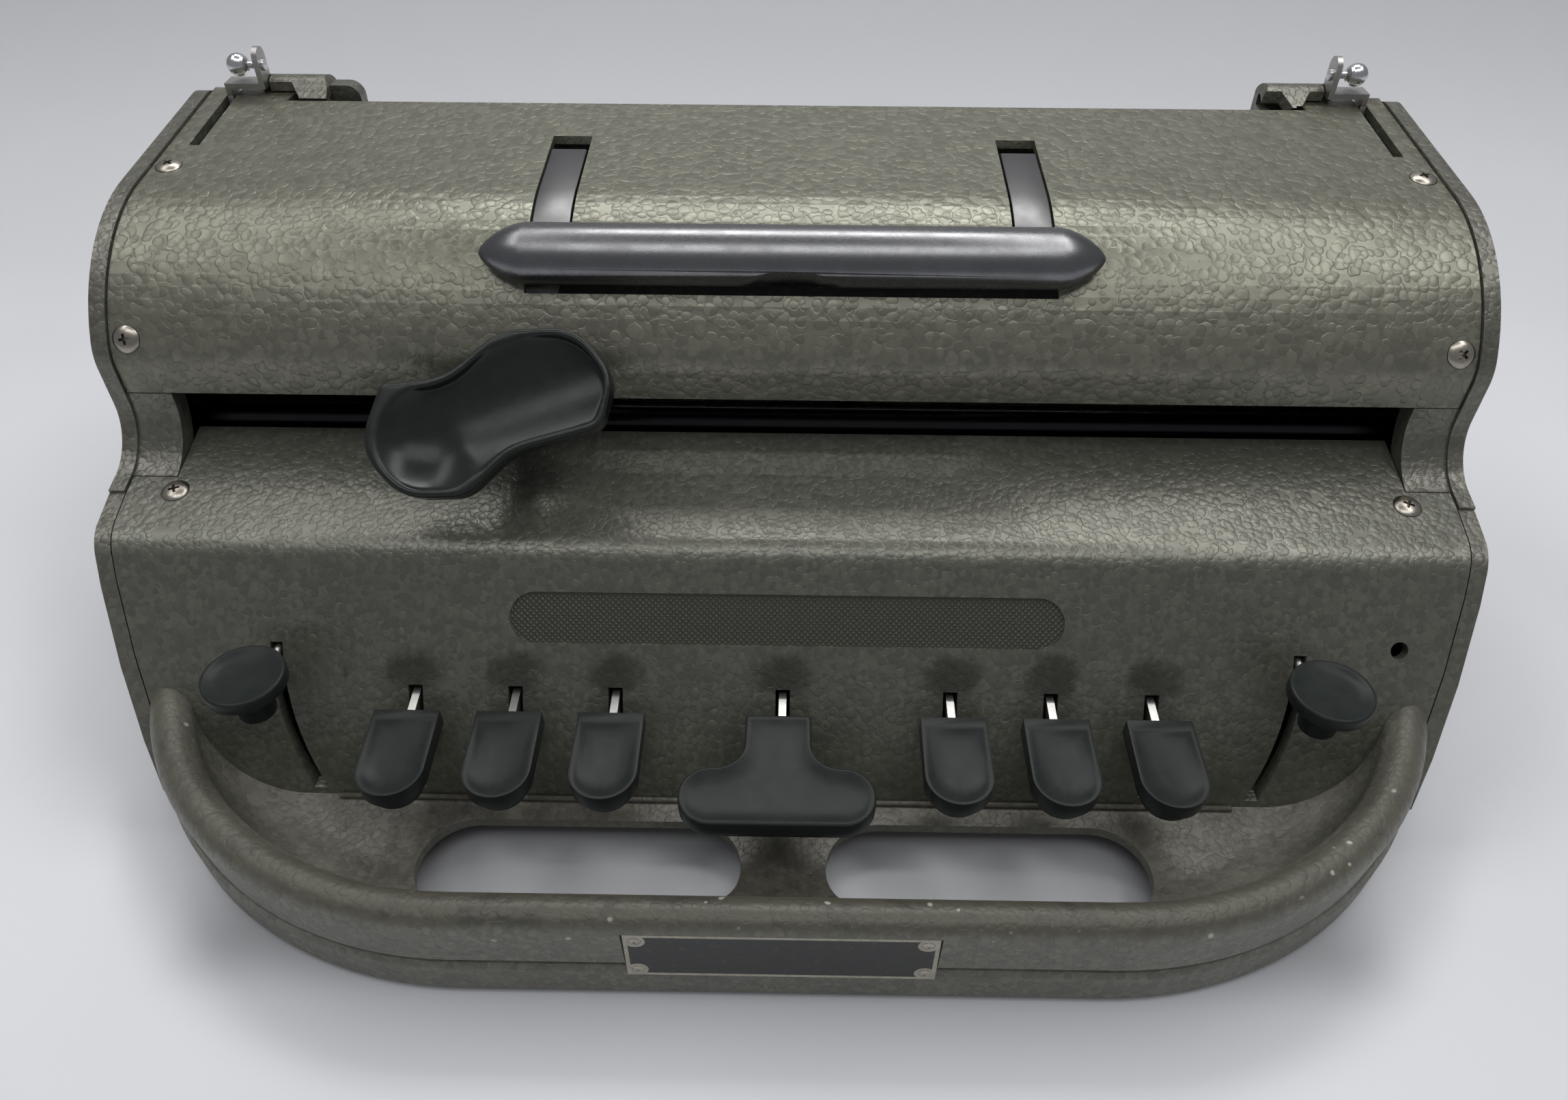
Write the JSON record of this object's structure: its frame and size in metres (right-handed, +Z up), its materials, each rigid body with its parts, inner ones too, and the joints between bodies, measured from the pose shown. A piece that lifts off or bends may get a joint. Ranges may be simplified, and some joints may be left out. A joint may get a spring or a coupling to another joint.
{
  "type": "manual braille writer",
  "caption": "Low metal-cased braille typewriter with dot keys, a space key, round side keys, a scoop-shaped carriage lever, a rounded top cover and a flush carrying handle.",
  "frame": {"origin": "on the table under the middle of the body", "axes": "+X to the right along the carriage, +Y to the back, +Z up"},
  "size_m": [0.394, 0.226, 0.1498],
  "materials": {
    "base_paint": "hammertone grey-green enamel on a casting, worn along the rail",
    "side_paint": "hammertone grey-green enamel",
    "panel_paint": "fine-grained hammertone grey-green enamel",
    "cover_paint": "hammertone olive-grey enamel on sheet metal",
    "dark_sheet": "dark painted sheet and bar",
    "rubber": "black rubber",
    "name_plate": "black enamel plate with a bare border, blank",
    "rivet_metal": "small round rivet heads",
    "nickel_screw": "nickelled oval-head screws",
    "black_rod": "blackened steel rod",
    "steel": "plain steel",
    "brass": "brass",
    "handle_alloy": "bare grey alloy, satin, polished by hands",
    "carriage_metal": "dark casting",
    "thumb_plastic": "dark green-grey glossy plastic",
    "drum_black": "dark paper drum",
    "knob_black": "black moulded plastic",
    "release_steel": "bare steel strip",
    "release_ball": "turned aluminium ball",
    "key_steel": "bare steel lever",
    "key_plastic": "dark grey-green semi-gloss plastic"
  },
  "bodies": {
    "body": {"base_casting": "base_paint", "bottom_plate": "dark_sheet", "rubber_feet": "rubber", "left_side_casting": "side_paint", "right_side_casting": "side_paint", "front_panel": "panel_paint", "top_cover": "cover_paint", "rear_cover": "cover_paint", "paper_table": "dark_sheet", "name_plate": "name_plate", "plate_rivets": "rivet_metal", "casing_screws": "nickel_screw", "front_rail": "black_rod", "rear_rail": "steel", "escapement_rack": "steel", "key_shaft": "steel", "key_guide_comb": "steel", "key_springs": "steel", "handle_beam": "dark_sheet", "handle_pins": "steel", "release_pins": "steel", "margin_rod": "steel", "bell": "brass", "spacer_pins": "steel"},
    "carriage": {"carriage_block": "carriage_metal", "embossing_head": "steel", "embossing_pins": "brass", "carriage_lever_pin": "steel"},
    "carriage_lever": {"carriage_lever_arm": "steel", "carriage_thumb_piece": "thumb_plastic"},
    "carrying_handle": {"handle": "handle_alloy"},
    "feed": {"feed_drum": "drum_black", "line_ratchet": "steel", "left_feed_knob": "knob_black", "right_feed_knob": "knob_black"},
    "left_release": {"left_release_lever": "release_steel", "left_release_ball": "release_ball"},
    "right_release": {"right_release_lever": "release_steel", "right_release_ball": "release_ball"},
    "left_margin": {"left_margin_stop": "carriage_metal"},
    "right_margin": {"right_margin_stop": "carriage_metal"},
    "clapper": {"bell_hammer": "steel"},
    "dot_1_key": {"dot_1_lever": "key_steel", "dot_1_cap": "key_plastic"},
    "dot_2_key": {"dot_2_lever": "key_steel", "dot_2_cap": "key_plastic"},
    "dot_3_key": {"dot_3_lever": "key_steel", "dot_3_cap": "key_plastic"},
    "dot_4_key": {"dot_4_lever": "key_steel", "dot_4_cap": "key_plastic"},
    "dot_5_key": {"dot_5_lever": "key_steel", "dot_5_cap": "key_plastic"},
    "dot_6_key": {"dot_6_lever": "key_steel", "dot_6_cap": "key_plastic"},
    "space_key": {"space_lever": "key_steel", "space_cap": "key_plastic"},
    "line_space_key": {"line_space_lever": "key_steel", "line_space_disc": "key_plastic"},
    "back_space_key": {"back_space_lever": "key_steel", "back_space_disc": "key_plastic"}
  },
  "joints": [
    {"name": "dot_1_press", "type": "hinge", "parent": "body", "child": "dot_1_key", "pos_m": [0, 0.066, 0.024], "axis": [1, 0, 0], "range_deg": [0, 2.8], "stiffness_Nm_per_rad": 1.5, "springref_deg": -3.44},
    {"name": "dot_2_press", "type": "hinge", "parent": "body", "child": "dot_2_key", "pos_m": [0, 0.066, 0.024], "axis": [1, 0, 0], "range_deg": [0, 2.8], "stiffness_Nm_per_rad": 1.5, "springref_deg": -3.44},
    {"name": "dot_3_press", "type": "hinge", "parent": "body", "child": "dot_3_key", "pos_m": [0, 0.066, 0.024], "axis": [1, 0, 0], "range_deg": [0, 2.8], "stiffness_Nm_per_rad": 1.5, "springref_deg": -3.44},
    {"name": "dot_4_press", "type": "hinge", "parent": "body", "child": "dot_4_key", "pos_m": [0, 0.066, 0.024], "axis": [1, 0, 0], "range_deg": [0, 2.8], "stiffness_Nm_per_rad": 1.5, "springref_deg": -3.44},
    {"name": "dot_5_press", "type": "hinge", "parent": "body", "child": "dot_5_key", "pos_m": [0, 0.066, 0.024], "axis": [1, 0, 0], "range_deg": [0, 2.8], "stiffness_Nm_per_rad": 1.5, "springref_deg": -3.44},
    {"name": "dot_6_press", "type": "hinge", "parent": "body", "child": "dot_6_key", "pos_m": [0, 0.066, 0.024], "axis": [1, 0, 0], "range_deg": [0, 2.8], "stiffness_Nm_per_rad": 1.5, "springref_deg": -3.44},
    {"name": "space_press", "type": "hinge", "parent": "body", "child": "space_key", "pos_m": [0, 0.066, 0.024], "axis": [1, 0, 0], "range_deg": [0, 2.8], "stiffness_Nm_per_rad": 1.5, "springref_deg": -3.44},
    {"name": "line_space_press", "type": "hinge", "parent": "body", "child": "line_space_key", "pos_m": [-0.0793, -0.03, 0.044], "axis": [0, -1, 0], "range_deg": [0, 11], "stiffness_Nm_per_rad": 0.3, "springref_deg": -6.88},
    {"name": "back_space_press", "type": "hinge", "parent": "body", "child": "back_space_key", "pos_m": [0.0793, -0.03, 0.044], "axis": [0, 1, 0], "range_deg": [0, 11], "stiffness_Nm_per_rad": 0.3, "springref_deg": -6.88},
    {"name": "carriage_travel", "type": "slide", "parent": "body", "child": "carriage", "axis": [1, 0, 0], "range_m": [-0.054, 0.206]},
    {"name": "carriage_lever_press", "type": "hinge", "parent": "carriage", "child": "carriage_lever", "pos_m": [-0.076, 0.034, 0.0855], "axis": [1, 0, 0], "range_deg": [0, 4.5], "stiffness_Nm_per_rad": 1.5, "springref_deg": -2.86},
    {"name": "handle_lift", "type": "hinge", "parent": "body", "child": "carrying_handle", "pos_m": [0, 0.072, 0.127], "axis": [-1, 0, 0], "range_deg": [0, 92]},
    {"name": "paper_feed", "type": "hinge", "parent": "body", "child": "feed", "pos_m": [0, 0.072, 0.088], "axis": [1, 0, 0], "continuous": true},
    {"name": "left_release_swing", "type": "hinge", "parent": "body", "child": "left_release", "pos_m": [0, 0.0953, 0.0765], "axis": [1, 0, 0], "range_deg": [0, 26.5]},
    {"name": "right_release_swing", "type": "hinge", "parent": "body", "child": "right_release", "pos_m": [0, 0.0953, 0.0765], "axis": [1, 0, 0], "range_deg": [0, 26.5]},
    {"name": "left_margin_slide", "type": "slide", "parent": "body", "child": "left_margin", "axis": [1, 0, 0], "range_m": [-0.007, 0.105]},
    {"name": "right_margin_slide", "type": "slide", "parent": "body", "child": "right_margin", "axis": [1, 0, 0], "range_m": [-0.105, 0.007]},
    {"name": "clapper_swing", "type": "hinge", "parent": "body", "child": "clapper", "pos_m": [-0.128, 0.066, 0.024], "axis": [1, 0, 0], "range_deg": [0, 12], "stiffness_Nm_per_rad": 0.02, "springref_deg": -11.46}
  ]
}
